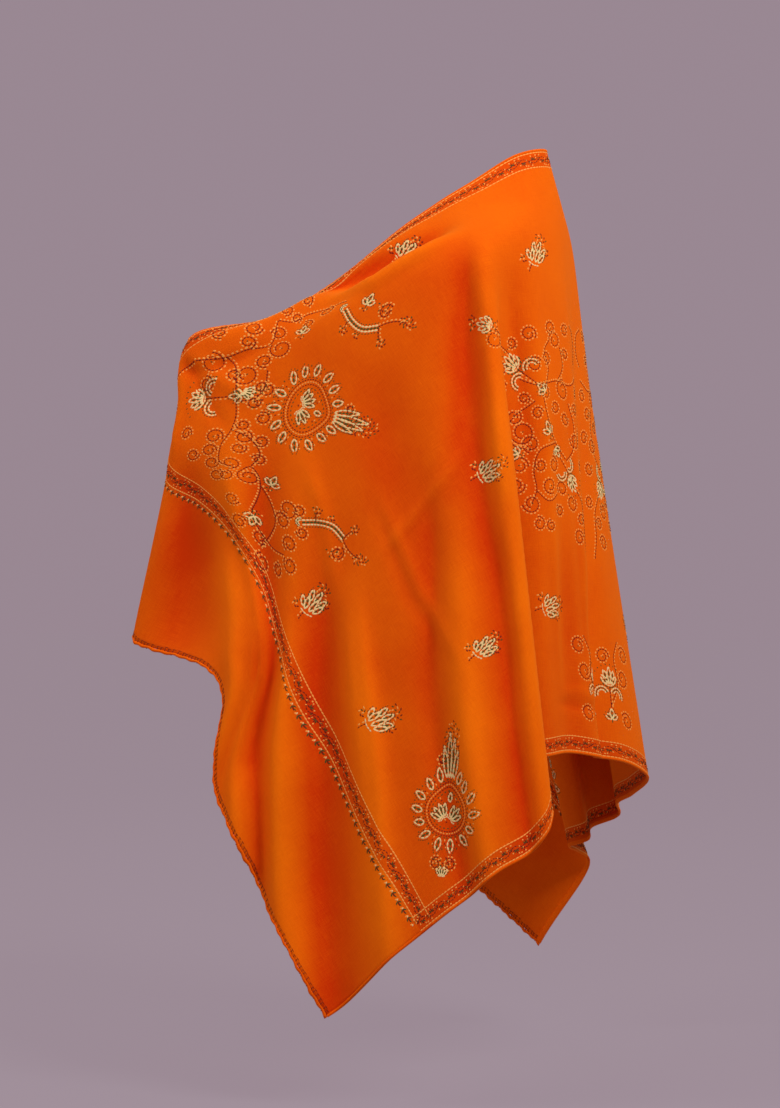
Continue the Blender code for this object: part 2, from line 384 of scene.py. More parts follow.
def newGroup(name, inputs, outputs):  # a vector and numbers in, numbers out
    group = bpy.data.node_groups.new(name, "ShaderNodeTree")
    group.interface.new_socket("Vector", in_out="INPUT", socket_type="NodeSocketVector")
    for way, sockets in (("INPUT", inputs), ("OUTPUT", outputs)):
        for socket in sockets:
            group.interface.new_socket(socket, in_out=way, socket_type="NodeSocketFloat")
    return group, group.nodes.new("NodeGroupInput"), group.nodes.new("NodeGroupOutput")


def newMath(tree, operation, *values):
    node = newNode(tree, "ShaderNodeMath", dict(enumerate(values)))
    node.operation = operation
    return node.outputs[0]


def newNoise(tree, vector, scale, detail=2.0):
    inputs = {"Vector": vector, "Scale": scale, "Detail": detail}
    return newNode(tree, "ShaderNodeTexNoise", inputs).outputs["Fac"]


def newMix(tree, share, first, second):
    mix = newNode(tree, "ShaderNodeMix")
    mix.data_type = "RGBA"
    setInputs(tree, mix, {0: share, 6: first, 7: second})
    return mix.outputs[2]


yarn = {
    "rib": 0.7,
    "slubStretch": 0.05,
    "slubScale": 900.0,
    "patchShare": 0.6,
}


def weaveGroup():  # twill ribs over warp and weft, on flat metres
    group, start, end = newGroup("twillWeave", ("Thread",), ("Height", "Slub"))
    spot = start.outputs["Vector"]
    x, y = newNode(group, "ShaderNodeSeparateXYZ", {0: spot}).outputs[:2]
    turns = newMath(group, "DIVIDE", 2.0 * math.pi, start.outputs["Thread"])
    warp = newMath(group, "SINE", newMath(group, "MULTIPLY", x, turns))
    weft = newMath(group, "SINE", newMath(group, "MULTIPLY", y, turns))
    turn = newMath(group, "MULTIPLY", newMath(group, "ADD", x, y), newMath(group, "MULTIPLY", turns, 0.5))
    rib, threads = newMath(group, "SINE", turn), newMath(group, "MAXIMUM", warp, weft)
    slubs = []
    thin = yarn["slubStretch"]
    for scale in ((thin, 1.0, 1.0), (1.0, thin, 1.0)):  # along the weft, along the warp
        stretched = newNode(group, "ShaderNodeMapping", {"Scale": scale, "Vector": spot}).outputs[0]
        slubs.append(newNoise(group, stretched, yarn["slubScale"]))
    setInputs(group, end, {
        "Height": newMath(group, "MULTIPLY_ADD", rib, yarn["rib"], threads),
        "Slub": newMath(group, "MULTIPLY", newMath(group, "ADD", *slubs), 0.5),
    })
    return group


def fuzzGroup():  # uneven tone of dyed and worn wool
    group, start, end = newGroup("woolFuzz", ("Patch", "Fibre"), ("Tone", "Height"))
    patch = newNoise(group, start.outputs["Vector"], start.outputs["Patch"], 3.0)
    fibre = newNoise(group, start.outputs["Vector"], start.outputs["Fibre"], 3.0)
    tone = newMath(group, "MULTIPLY", fibre, 1.0 - yarn["patchShare"])
    tone = newMath(group, "MULTIPLY_ADD", patch, yarn["patchShare"], tone)
    setInputs(group, end, {"Tone": tone, "Height": fibre})
    return group


weaveNodes, fuzzNodes = weaveGroup(), fuzzGroup()


def placed(tree, group, inputs):
    node = newNode(tree, "ShaderNodeGroup")
    node.node_tree = group
    setInputs(tree, node, inputs)
    return node.outputs


border = {
    "edge": 4.0,  # from the long edge to the first peach line
    "width": 24.0,
    "wave": 40.0,
    "swing": 4.6,
    "bandAt": 790.0,
    "bandWidth": 24.0,
    "leafRow": 7.0,  # past the band's outer line
    "groundDown": 17.0,
    "groundHalf": 12.0,
}

woolFinish = {
    "light": (0.88, 0.155, 0.0016),
    "deep": (0.60, 0.031, 0.0005),
    # painted sheen: the paler colour where the cloth turns edge-on
    "paintedEdgeSheen": (0.92, 0.165, 0.0020),
    "borderGround": (0.58, 0.030, 0.0008),
    "groundShare": 0.50,
    "fuzzShare": 0.55,
    "slubShare": 0.45,
    # painted fold shade: troughs darker and ridges paler by the folds' height
    "paintedFoldShadeStrength": 18.0,
    "paintedFoldShadeLimit": 0.012,
    "toneRange": (0.25, 0.80),
    "grazing": 0.35,
    "weave": {"Thread": 0.0011},  # metres from one warp thread to the next
    "fuzz": {"Patch": 9.0, "Fibre": 700.0},
    "weaveBump": {"Strength": 0.5, "Distance": 0.00022},
    "fuzzBump": {"Strength": 0.5, "Distance": 0.0003},
    "shader": {
        "Roughness": 0.82,
        "Specular IOR Level": 0.09,
        "Specular Tint": (1.0, 0.6, 0.3),
        "Sheen Weight": 0.06,
        "Sheen Roughness": 0.45,
        "Sheen Tint": (1.0, 0.45, 0.08),
    },
}


def newWithin(tree, value, middle, half):  # 1 within half of middle, else 0
    off = newMath(tree, "ABSOLUTE", newMath(tree, "SUBTRACT", value, middle))
    return newMath(tree, "LESS_THAN", off, half)


def woolMaterial():
    finish, tree, shader = newFinish("orangeWool")
    flat = newNode(tree, "ShaderNodeUVMap")
    flat.uv_map = "flat"
    spot = newNode(tree, "ShaderNodeTexCoord").outputs["Object"]
    weave = placed(tree, weaveNodes, {**woolFinish["weave"], "Vector": flat.outputs[0]})
    fuzz = placed(tree, fuzzNodes, {**woolFinish["fuzz"], "Vector": spot})
    paintedFoldShade = newNode(tree, "ShaderNodeAttribute")  # height of the folds, painted into the colour as shade: ridges paler, troughs deeper
    paintedFoldShade.attribute_name = "paintedFoldShade"
    tone = newMath(tree, "MULTIPLY", fuzz["Tone"], woolFinish["fuzzShare"])
    tone = newMath(tree, "MULTIPLY_ADD", weave["Slub"], woolFinish["slubShare"], tone)
    tone = newMath(tree, "MULTIPLY_ADD", paintedFoldShade.outputs["Fac"], woolFinish["paintedFoldShadeStrength"], tone)
    low, high = woolFinish["toneRange"]
    spread = newNode(tree, "ShaderNodeMapRange", {"Value": tone, "From Min": low, "From Max": high})
    plain = newMix(tree, spread.outputs[0], woolFinish["deep"], woolFinish["light"])
    # painted sheen: the colour pales where the cloth turns edge-on
    grazing = newNode(tree, "ShaderNodeLayerWeight", {"Blend": woolFinish["grazing"]})
    plain = newMix(tree, grazing.outputs["Facing"], plain, woolFinish["paintedEdgeSheen"])
    # dense stitches redden the ground of the borders and of the two bands across
    along, down = newNode(tree, "ShaderNodeSeparateXYZ", {0: flat.outputs[0]}).outputs[:2]
    fromMiddle = newMath(tree, "ABSOLUTE", along)
    fromEdge = newMath(tree, "MINIMUM", down, newMath(tree, "SUBTRACT", cloth["width"], down))
    bandAt, groundHalf = mm * border["bandAt"], mm * border["groundHalf"]
    band = newWithin(tree, fromMiddle, bandAt, groundHalf)
    strip = newWithin(tree, fromEdge, mm * border["groundDown"], groundHalf)
    strip = newMath(tree, "MULTIPLY", strip, newMath(tree, "LESS_THAN", fromMiddle, bandAt))
    ground = newMath(tree, "MULTIPLY", newMath(tree, "MAXIMUM", band, strip), woolFinish["groundShare"])
    ribs = newNode(tree, "ShaderNodeBump", {**woolFinish["weaveBump"], "Height": weave["Height"]}).outputs[0]
    hairs = {**woolFinish["fuzzBump"], "Height": fuzz["Height"], "Normal": ribs}
    setInputs(tree, shader, {
        **woolFinish["shader"],
        "Base Color": newMix(tree, ground, plain, woolFinish["borderGround"]),
        "Normal": newNode(tree, "ShaderNodeBump", hairs).outputs[0],
    })
    return finish


wool = woolMaterial()

print("cloth")
columns, rows = cloth["columns"], cloth["rows"]
alongGrid, downGrid = np.meshgrid(
    np.linspace(-0.5 * cloth["length"], 0.5 * cloth["length"], columns + 1),
    np.linspace(0.0, cloth["width"], rows + 1),
)
places = drape(alongGrid.ravel(), downGrid.ravel()).reshape(rows + 1, columns + 1, 3)
outward = unitLong(np.cross(np.gradient(places, axis=1), np.gradient(places, axis=0)))


def onCloth(along, down, lift):  # places at a height over the cloth's middle, between its grid points
    column = (along + 0.5 * cloth["length"]) * columns / cloth["length"]
    row = down * rows / cloth["width"]
    left = np.clip(np.floor(column).astype(int), 0, columns - 1)
    upper = np.clip(np.floor(row).astype(int), 0, rows - 1)
    across = (column - left)[..., None]
    below = (row - upper)[..., None]

    def between(grid):
        top = grid[upper, left] * (1.0 - across) + grid[upper, left + 1] * across
        bottom = grid[upper + 1, left] * (1.0 - across) + grid[upper + 1, left + 1] * across
        return top * (1.0 - below) + bottom * below

    return between(places) + unitLong(between(outward)) * lift[..., None]


def newPiece(name, shape, finish):
    piece = newObject(name, shape, finish)
    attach(piece, "root")
    return piece


def writeFlat(shape, layerName, along, down):  # one texture place for each vertex
    layer = shape.loops.layers.uv.new(layerName)
    for face in shape.faces:
        for loop in face.loops:
            at = loop.vert.index
            loop[layer].uv = (along[at], down[at])


def clothPiece():
    sheet = bmesh.new()
    bmesh.ops.create_grid(sheet, x_segments=columns, y_segments=rows, size=0.5)
    at = np.array([vertex.co[:2] for vertex in sheet.verts]) + 0.5
    writeFlat(sheet, "flat", (at[:, 0] - 0.5) * cloth["length"], at[:, 1] * cloth["width"])
    # the folds' height on each vertex, for the painted fold shade in the wool's colour
    limit = woolFinish["paintedFoldShadeLimit"]
    heights = np.clip(foldHeight(alongGrid, downGrid), -limit, limit)
    paintedFoldShade = sheet.verts.layers.float.new("paintedFoldShade")
    for vertex, (column, row) in zip(sheet.verts, np.rint(at * (columns, rows)).astype(int)):
        vertex[paintedFoldShade] = heights[row, column]
        vertex.co = places[row, column]
    piece = newPiece("shawlCloth", sheet, wool)
    wall = piece.modifiers.new("thickness", "SOLIDIFY")
    wall.thickness = cloth["thickness"]
    wall.offset = 0.0
    return piece


shawlCloth = clothPiece()
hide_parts("right_end_stretch", "right_shoulder_stretch", "back_stretch",
            "left_shoulder_stretch", "left_side_stretch", "held_end_stretch")

print("hems")
longHem = {
    # cross-section from the outside round the edge to the inside: down from the edge, height
    "section": (
        (0.0032, 0.0004), (0.0028, 0.0014), (0.0008, 0.0018), (-0.0012, 0.0010),
        (-0.0014, -0.0012), (0.0006, -0.0022), (0.0095, -0.0021), (0.0102, -0.0004),
    ),
    "segments": 400,
    "puckerFrom": 0.001,  # what stands higher than this puckers
    "pucker": 0.00025,
    "puckerPace": 420.0,  # radians a metre
}
endHem = {
    "radius": 0.0024,
    "sides": 8,
    "segments": 260,
    "seat": 0.0002,  # how far the roll reaches over the cloth's edge
    "wobble": 0.0007,
    "ripples": ((1.0, 310.0, 0.0), (0.7, 137.0, 2.0)),  # share, radians a metre, start
    "swell": 0.3,
    "overcast": {
        "from": 0.004,
        "step": 0.0068,
        "stepUneven": (0.7, 1.3),
        "lean": (0.001, 0.004),
        "inward": 0.0048,
        "inwardUneven": (0.8, 1.25),
        "outward": 0.0042,
        "width": 0.0017,
        "knot": (0.002, 0.004, 0.0014),  # up, down, width
    },
}


def longHemPiece(name, edge):  # edge 0: the top one, 1: the lower one
    strip = bmesh.new()
    section = np.array(longHem["section"])
    segments, steps = longHem["segments"], len(section) - 1
    bmesh.ops.create_grid(strip, x_segments=segments, y_segments=steps, size=0.5)
    at = np.array([vertex.co[:2] for vertex in strip.verts]) + 0.5
    part = np.rint(at[:, 1] * steps).astype(int)
    along = (at[:, 0] - 0.5) * cloth["length"]
    down = section[part, 0] if edge == 0 else cloth["width"] - section[part, 0]
    height = section[part, 1]
    pucker = longHem["pucker"] * np.sin(along * longHem["puckerPace"]) * (height > longHem["puckerFrom"])
    for vertex, place in zip(strip.verts, onCloth(along, down, height + pucker)):
        vertex.co = place
    writeFlat(strip, "flat", along, section[part, 0])
    if edge == 0:
        bmesh.ops.reverse_faces(strip, faces=strip.faces)
    return newPiece(name, strip, wool)


def endHemPiece(name, end):  # end -1 or 1; the cloth's edge rolled to a cord
    roll = bmesh.new()
    sides, segments = endHem["sides"], endHem["segments"]
    bmesh.ops.create_cone(roll, cap_ends=True, segments=sides, radius1=1.0, radius2=1.0, depth=1.0)
    lengthwise = [edge for edge in roll.edges if abs(edge.verts[0].co.z - edge.verts[1].co.z) > 0.5]
    bmesh.ops.subdivide_edges(roll, edges=lengthwise, cuts=segments - 1)
    at = np.array([vertex.co[:] for vertex in roll.verts])
    down = (at[:, 2] + 0.5) * cloth["width"]
    ripples = [share * np.sin(down * pace + first) for share, pace, first in endHem["ripples"]]
    wobble = endHem["wobble"] * np.sum(ripples, axis=0)
    radius = endHem["radius"] + endHem["swell"] * wobble
    edge = 0.5 * cloth["length"] + endHem["radius"] - endHem["seat"]
    along = end * (edge + wobble + radius * at[:, 0])
    for vertex, place in zip(roll.verts, onCloth(along, down, radius * at[:, 1])):
        vertex.co = place
    writeFlat(roll, "flat", along, down)
    bmesh.ops.recalc_face_normals(roll, faces=roll.faces)
    return newPiece(name, roll, wool)


topHem = longHemPiece("topHem", 0)
lowerHem = longHemPiece("lowerHem", 1)
heldEndHem = endHemPiece("heldEndHem", 1)
rightEndHem = endHemPiece("rightEndHem", -1)
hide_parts("held_end_hem_roll")
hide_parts("right_end_hem_roll")

print("embroidery pattern")
# Stitches by thread: each one's flat start and end, along and down, and its width, all in metres
stitches = {"cream": [], "green": [], "rust": [], "peach": []}
chance = random.Random(11)
stitch = {
    "uneven": 0.18,
    "bold": {"cream": 1.65, "green": 1.65, "rust": 1.75, "peach": 1.8},  # how far each thread swells
    "stem": (4.6, 0.4, 1.6),  # length, gap and width
    "dash": (3.6, 2.6, 1.9),
    "dashOff": 2.8,
    "curlGrow": 1.12,
    "curlTurn": 430.0,  # degrees
}


def runOf(line):  # how far along the line each of its points is
    return np.concatenate(([0.0], np.cumsum(np.hypot(*np.diff(line, axis=0).T))))


def pointAt(line, keys, at):
    return np.interp(at, keys, line[:, 0]), np.interp(at, keys, line[:, 1])


def rounded(points, step=1.2):  # a smooth line through a few points, in even short steps
    line = np.array(points, float)
    keys = runOf(line)
    count = max(2, int(keys[-1] / step))
    return readGuide(np.column_stack((keys, line)), np.linspace(0.0, keys[-1], count + 1))


def beside(line, offset):
    run = unitLong(np.gradient(line, axis=0))
    return line + offset * np.column_stack((run[:, 1], -run[:, 0]))


def sewLine(motif, thread, line, length, gap, width):  # running stitch
    keys = runOf(line)
    at = 0.5 * gap
    while at + 0.5 * length < keys[-1]:
        reach = length * (1.0 + chance.uniform(-stitch["uneven"], stitch["uneven"]))
        (x0, x1), (y0, y1) = pointAt(line, keys, (at, min(at + reach, keys[-1])))
        motif.append((thread, x0, y0, x1, y1, width))
        at += reach + gap


def sewRay(motif, thread, x, y, angle, inner, outer, width):
    c, s = math.cos(angle), math.sin(angle)
    motif.append((thread, x + inner * c, y + inner * s, x + outer * c, y + outer * s, width))


def curl(x, y, radius, start, turn, inward=0.55):  # a scroll that winds in towards its middle
    steps = max(8, int(abs(turn) / 12))
    angles = np.radians(np.linspace(start, start + turn, steps + 1))
    radii = radius * (1.0 - inward * np.linspace(0.0, 1.0, steps + 1) ** 1.3)
    return np.column_stack((x + radii * np.cos(angles), y + radii * np.sin(angles)))


def sewVine(motif, line, dashSide=1.0):  # dark stem with peach dashes close outside it
    sewLine(motif, "rust", line, *stitch["stem"])
    sewLine(motif, "peach", beside(line, stitch["dashOff"] * dashSide), *stitch["dash"])


def sewCurl(motif, x, y, radius, start, turn):
    line = curl(x, y, radius, start, turn)
    sewVine(motif, line, dashSide=1.0 if turn > 0 else -1.0)
    for number in range(3):
        angle = math.radians(start + turn + 120.0 * number)
        sewRay(motif, "green" if number % 2 else "peach", x, y, angle, 0.5, 3.4, 1.6)


def sewLeaf(motif, x, y, angle, length, width, halo=0.0):  # cream edges, green vein and dashes round it
    c, s = math.cos(angle), math.sin(angle)
    for side in (-1.0, 1.0):
        line, around = [], []
        for part in np.linspace(0.0, 1.0, 7):
            off = side * 0.5 * width * math.sin(math.pi * part ** 0.8)
            line.append((x + c * part * length - s * off, y + s * part * length + c * off))
            far, out = part * (length + halo), off + side * halo
            around.append((x + c * far - s * out, y + s * far + c * out))
        sewLine(motif, "cream", np.array(line), min(max(3.0, 0.36 * length), 7.5), 0.2, 2.25)
        if halo:
            sewLine(motif, "green", np.array(around[2:]), 2.6, 1.2, 1.3)
    vein = np.array([(x + c * length * part, y + s * length * part) for part in (0.14, 0.80)])
    sewLine(motif, "green", vein, min(0.6 * length, 7.0), 0.3, 0.20 * width + 0.8)


def sewFan(motif, x, y, angle, size, leaves, spread):  # overlapping petals on a short base line
    for number in range(leaves):
        place = number / (leaves - 1) - 0.5
        reach = size * (1.0 - 0.30 * abs(place))
        aside = 0.34 * size * place * spread / 2.0
        px, py = x - aside * math.sin(angle), y + aside * math.cos(angle)
        sewLeaf(motif, px, py, angle + 0.62 * place * spread, reach, 0.30 * size, 1.9)
    for side in (-1.0, 1.0):
        foot = rounded(((0.0, 0.0), (0.18 * size, -0.10 * size), (0.42 * size, 0.02 * size)))
        c, s = math.cos(angle - 0.5 * math.pi), math.sin(angle - 0.5 * math.pi)
        out, up = side * foot[:, 0], foot[:, 1]
        sewLine(motif, "cream", np.column_stack((x + out * c - up * s, y + out * s + up * c)), 3.6, 0.2, 1.9)


def sewCrescent(motif, x, y, angle, radius, sweep=150.0):  # a hooked leaf of cream and green arcs
    start = math.degrees(angle) - 0.5 * sweep
    for grow, thread, width in ((1.0, "cream", 2.2), (0.80, "green", 1.8), (0.60, "cream", 2.1)):
        sewLine(motif, thread, curl(x, y, radius * grow, start, sweep, 0.12), 4.4, 0.2, width)
    sewLine(motif, "green", curl(x, y, radius * 1.22, start, sweep, 0.12), 2.6, 1.6, 1.3)


def sewDots(motif, x, y, wide, high, count):  # loose berries over an oval
    for number in range(count):
        out = math.sqrt((number + 0.5) / count)
        angle = 2.4 * number
        px, py = x + 0.5 * wide * out * math.cos(angle), y + 0.5 * high * out * math.sin(angle)
        thread = ("peach", "green", "rust", "green", "peach", "rust")[number % 6]
        sewRay(motif, thread, px, py, angle + 0.7, -1.9, 1.9, 1.9)


def butaMotif():  # small close spray, leaves all leaning to one side
    motif = []
    for x, y, angle, length in (
        (-11, -12, 100, 14.0), (-9, -15, 74, 19.0), (-3, -17, 58, 21.0), (2, -18, 40, 18.0),
        (-4, -4, 76, 17.0), (2, -4, 56, 19.0), (8, -8, 40, 15.0),
    ):
        sewLeaf(motif, x, y, math.radians(angle), length, 6.2, 1.6)
    sewLine(motif, "cream", rounded(((-14, -15), (-8, -20), (2, -22))), 4.4, 0.2, 2.0)
    sewVine(motif, rounded(((-9, -19), (-13, -25), (-15, -30))))
    sewDots(motif, 13.0, 15.0, 22.0, 18.0, 15)
    sewDots(motif, 19.0, -3.0, 12.0, 16.0, 9)
    sewDots(motif, -22.0, -12.0, 10.0, 12.0, 7)
    return motif


def ringMotif(width, length):  # drop-shaped medallion in a ring of leaves, with a column at its tip
    motif = []

    def drop(grow):
        line = []
        for angle in np.radians(np.linspace(-90.0, 270.0, 61)):
            tip = max(0.0, math.sin(angle)) ** 3
            x = math.cos(angle) * 0.5 * width * grow * (1.0 - 0.30 * tip)
            y = math.sin(angle) * 0.5 * length * grow * (1.0 + 0.22 * tip)
            line.append((x, y))
        return np.array(line)

    rings = ((0.44, "green", 3.4), (0.52, "rust", 1.2), (0.575, "peach", 1.2), (0.63, "rust", 1.2),
             (0.68, "green", 3.4))
    for grow, thread, gap in rings:
        sewLine(motif, thread, drop(grow), 3.6, gap, 1.5)
    around = drop(0.70)
    keys = runOf(around)
    leaves = 15
    for number in range(leaves):
        at = (number + 0.5) / leaves * keys[-1]
        x, y = pointAt(around, keys, at)
        angle = math.atan2(y, x)
        if abs(angle - math.pi / 2) < 0.25:  # room for the column
            continue
        upward = 0.45 * math.cos(angle) + chance.uniform(-0.25, 0.25)
        sewLeaf(motif, x, y, angle + upward, chance.uniform(19.0, 24.0), 10.5, 2.6)
        x, y = pointAt(around, keys, at + 0.5 / leaves * keys[-1])
        for thread, lean, inner, outer, thick in (
            ("peach", 0.0, 1.0, 4.4, 1.7),
            ("rust", 0.0, 6.0, 9.0, 1.5),
            ("peach", 0.2, 12.0, 15.0, 1.7),
            ("green", -0.2, 15.0, 18.0, 1.7),
        ):
            sewRay(motif, thread, x, y, math.atan2(y, x) + lean, inner, outer, thick)
    sewFan(motif, -7.0, -10.0, math.radians(128), 24.0, 4, 1.8)
    sewFan(motif, 7.0, -11.0, math.radians(48), 24.0, 3, 1.3)
    sewLeaf(motif, 2.0, 14.0, math.radians(84), 15.0, 8.0, 1.8)
    for x, y in ((-14.0, 14.0), (15.0, 15.0), (-2.0, -17.0), (18.0, 2.0), (-22.0, -4.0)):
        sewRay(motif, "rust", x, y, 0.6, 0.0, 3.6, 1.5)
        sewRay(motif, "peach", x, y + 3.0, 2.2, 0.0, 3.2, 1.6)
    tip = 0.43 * length
    # column of long leaves: x, lean from upright, length
    for x, lean, long in ((-6.5, 11.0, 48.0), (-2.0, 2.0, 68.0), (2.5, -4.0, 60.0), (7.0, -11.0, 42.0)):
        sewLeaf(motif, x, tip, math.radians(90.0 + lean), long, 9.0, 2.0)
    sewDots(motif, 1.0, tip + 56.0, 34.0, 56.0, 54)
    hook = ((-8, tip + 26), (-16, tip + 33), (-23, tip + 28), (-20, tip + 20), (-14, tip + 23))
    sewVine(motif, rounded(hook))
    sewDots(motif, -20.0, tip + 27.0, 16.0, 14.0, 6)
    sewVine(motif, rounded(((9, tip + 22), (15, tip + 30), (17, tip + 42), (12, tip + 50))), -1.0)
    base = -0.62 * length
    sewCurl(motif, -12.0, base - 6.0, 9.0, 60, 400)
    sewCurl(motif, 12.0, base - 6.0, 9.0, 120, -400)
    sewDots(motif, 0.0, base - 3.0, 44.0, 14.0, 16)
    sewFan(motif, 0.0, base - 24.0, math.radians(90), 15.0, 4, 2.0)
    return motif


def branchMotif(bend):  # cream double stem that thins to a twig with berries
    motif = []
    stem = rounded(((-2, 3 * bend), (20, 11 * bend), (44, 12 * bend), (68, -2 * bend)))
    for offset, thread, width in ((0.0, "green", 3.0), (-3.4, "cream", 2.4), (3.4, "cream", 2.4)):
        sewLine(motif, thread, beside(stem, offset), 5.4, 0.2, width)
    for offset in (-6.8, 6.8):
        sewLine(motif, "green", beside(stem, offset), 2.8, 1.8, 1.3)
    sewCrescent(motif, -4.0, 2.0 * bend, math.pi, 7.0, 190.0)
    twig = rounded(((66, -2 * bend), (76, -13 * bend), (88, -21 * bend), (104, -26 * bend)))
    sewVine(motif, twig, bend)
    sewDots(motif, 104.0, -27.0 * bend, 30.0, 18.0, 22)
    sewCurl(motif, 62.0, -24.0 * bend, 11.0, 60, -360 * bend)
    sewDots(motif, 56.0, -26.0 * bend, 30.0, 16.0, 12)
    sewVine(motif, rounded(((68, -2 * bend), (76, 8 * bend), (84, 13 * bend))), bend)
    sewDots(motif, 86.0, 14.0 * bend, 18.0, 14.0, 12)
    sewVine(motif, rounded(((18, 12 * bend), (16, 20 * bend), (18, 27 * bend))), bend)
    sewDots(motif, 18.0, 29.0 * bend, 18.0, 14.0, 11)
    sewDots(motif, 42.0, 24.0 * bend, 12.0, 10.0, 6)
    return motif


def sewBud(motif, x, y, size):  # hugging petals in a cup
    petals = ((-0.16, 128, 0.62), (0.16, 52, 0.62), (-0.08, 110, 0.86), (0.08, 70, 0.86), (0.0, 90, 1.0))
    for aside, angle, reach in petals:
        sewLeaf(motif, x + aside * size, y, math.radians(angle), reach * size, 0.34 * size)
    for grow, thread, gap in ((0.50, "cream", 0.2), (0.60, "green", 1.4)):
        sewLine(motif, thread, curl(x, y + 0.40 * size, grow * size, 190.0, 160.0, 0.0), 4.4, gap, 2.0)


def flowerMotif():  # bud over two hooked leaves, on a stem that ends in a trefoil
    motif = []
    sewBud(motif, 0.0, 4.0, 25.0)
    sewCrescent(motif, -13.0, -12.0, math.radians(112), 12.5, 180.0)
    sewCrescent(motif, 13.0, -12.0, math.radians(68), 12.5, 180.0)
    sewVine(motif, rounded(((0, 0), (0, -14), (0, -30))))
    sewTrefoil(motif, 0.0, -46.0, 15.0)
    for angle in range(35, 150, 15):
        sewRay(motif, "green", 0.0, 4.0, math.radians(angle), 27.0, 29.5, 1.6)
    return motif


def budMotif():  # single bud with berries
    motif = []
    sewBud(motif, 0.0, -8.0, 19.0)
    sewDots(motif, 0.0, 17.0, 22.0, 12.0, 12)
    sewDots(motif, 0.0, -16.0, 22.0, 6.0, 7)
    return motif


def sewTrefoil(motif, x, y, size):
    for angle, reach in ((90, 1.0), (148, 0.8), (32, 0.8)):
        sewLeaf(motif, x, y, math.radians(angle), reach * size, 0.5 * size, 1.8)
    sewRay(motif, "green", x, y, -0.5 * math.pi, 0.0, 0.4 * size, 1.6)


def sprigMotif():
    motif = []
    sewTrefoil(motif, 0.0, -3.0, 19.0)
    sewDots(motif, 0.0, -12.0, 18.0, 6.0, 5)
    return motif


def sewMotif(motif, at, up, size=1.0):  # at a flat place, the same on both halves of the cloth
    reach = math.hypot(*up)
    upAlong, upDown = up[0] / reach, up[1] / reach
    for thread, x0, y0, x1, y1, width in motif:
        start, end = [
            (at[0] + size * (y * upAlong + x * upDown), at[1] + size * (y * upDown - x * upAlong))
            for x, y in ((x0, y0), (x1, y1))
        ]
        thick = mm * width * stitch["bold"][thread]
        for half in (mm, -mm):
            stitches[thread].append((half * start[0], mm * start[1], half * end[0], mm * end[1], thick))


buta, flower, bud, sprig = butaMotif(), flowerMotif(), budMotif(), sprigMotif()
for motif, at, aim, size in (
    (buta, (290, 54), (262, 36), 0.95),
    (buta, (113, 173), (113, 120), 1.2),
    (buta, (355, 473), (310, 450), 1.15),
    (buta, (703, 465), (670, 430), 1.2),
    (buta, (150, 753), (120, 730), 1.3),
    (buta, (487, 697), (450, 660), 1.0),
    (buta, (690, 687), (640, 670), 1.3),
    (ringMotif(142.0, 120.0), (555, 210), (515, 260), 1.0),
    (ringMotif(126.0, 116.0), (668, 872), (598, 783), 1.0),
    (branchMotif(-1.0), (417, 123), (322, 92), 1.0),
    (branchMotif(1.0), (657, 367), (587, 295), 1.05),
    (flower, (668, 108), (720, 75), 1.15),
    (flower, (168, 367), (230, 310), 1.2),
    (flower, (78, 540), (40, 590), 1.1),
    (flower, (40, 880), (40, 800), 1.15),
    (bud, (260, 280), (300, 250), 1.25),
    (sprig, (125, 470), (140, 430), 1.1),
    (sprig, (497, 97), (470, 70), 1.1),
    (sprig, (670, 290), (645, 275), 1.1),
    (sprig, (388, 140), (370, 130), 0.9),
    (sprig, (188, 503), (215, 490), 0.9),
    (sprig, (740, 333), (760, 345), 1.0),
):
    sewMotif(motif, at, (aim[0] - at[0], aim[1] - at[1]), size)

# Loose scrolls round the ring medallion and down the back: vines, then curls and their radius
vines = (
    ((610, 70), (608, 87), (618, 113), (633, 140), (647, 163), (662, 177), (690, 193)),
    ((520, 47), (555, 83), (578, 73), (610, 70), (650, 50)),
    ((520, 47), (500, 60), (468, 63), (430, 83), (410, 110)),
    ((698, 253), (680, 250), (680, 267), (690, 287), (715, 310), (735, 323)),
    ((690, 287), (693, 317), (703, 347), (733, 363), (763, 370)),
    ((250, 297), (215, 318), (185, 337), (168, 367)),
    ((168, 383), (145, 393), (120, 392), (88, 387), (52, 390), (20, 375)),
    ((147, 420), (158, 427), (182, 440)),
    ((133, 410), (125, 453), (107, 490), (83, 517)),
    ((107, 490), (150, 503), (163, 533), (163, 567), (175, 587)),
    ((60, 560), (40, 590), (37, 633), (30, 670)),
    ((22, 353), (10, 330), (16, 300), (34, 290)),
    ((40, 910), (60, 870), (55, 830), (70, 800)),
    ((633, 140), (610, 150), (590, 140), (575, 120)),
    ((662, 177), (650, 205), (655, 235), (680, 250)),
    ((690, 193), (712, 225), (700, 245)),
    ((650, 50), (690, 45), (720, 60)),
    ((735, 323), (745, 345), (740, 375), (715, 395)),
    ((120, 392), (110, 365), (118, 340), (100, 320)),
    ((88, 387), (70, 360), (75, 330)),
    ((182, 440), (200, 460), (190, 490), (163, 500)),
    ((83, 517), (60, 500), (50, 460), (60, 420)),
    ((163, 567), (140, 585), (115, 575)),
)
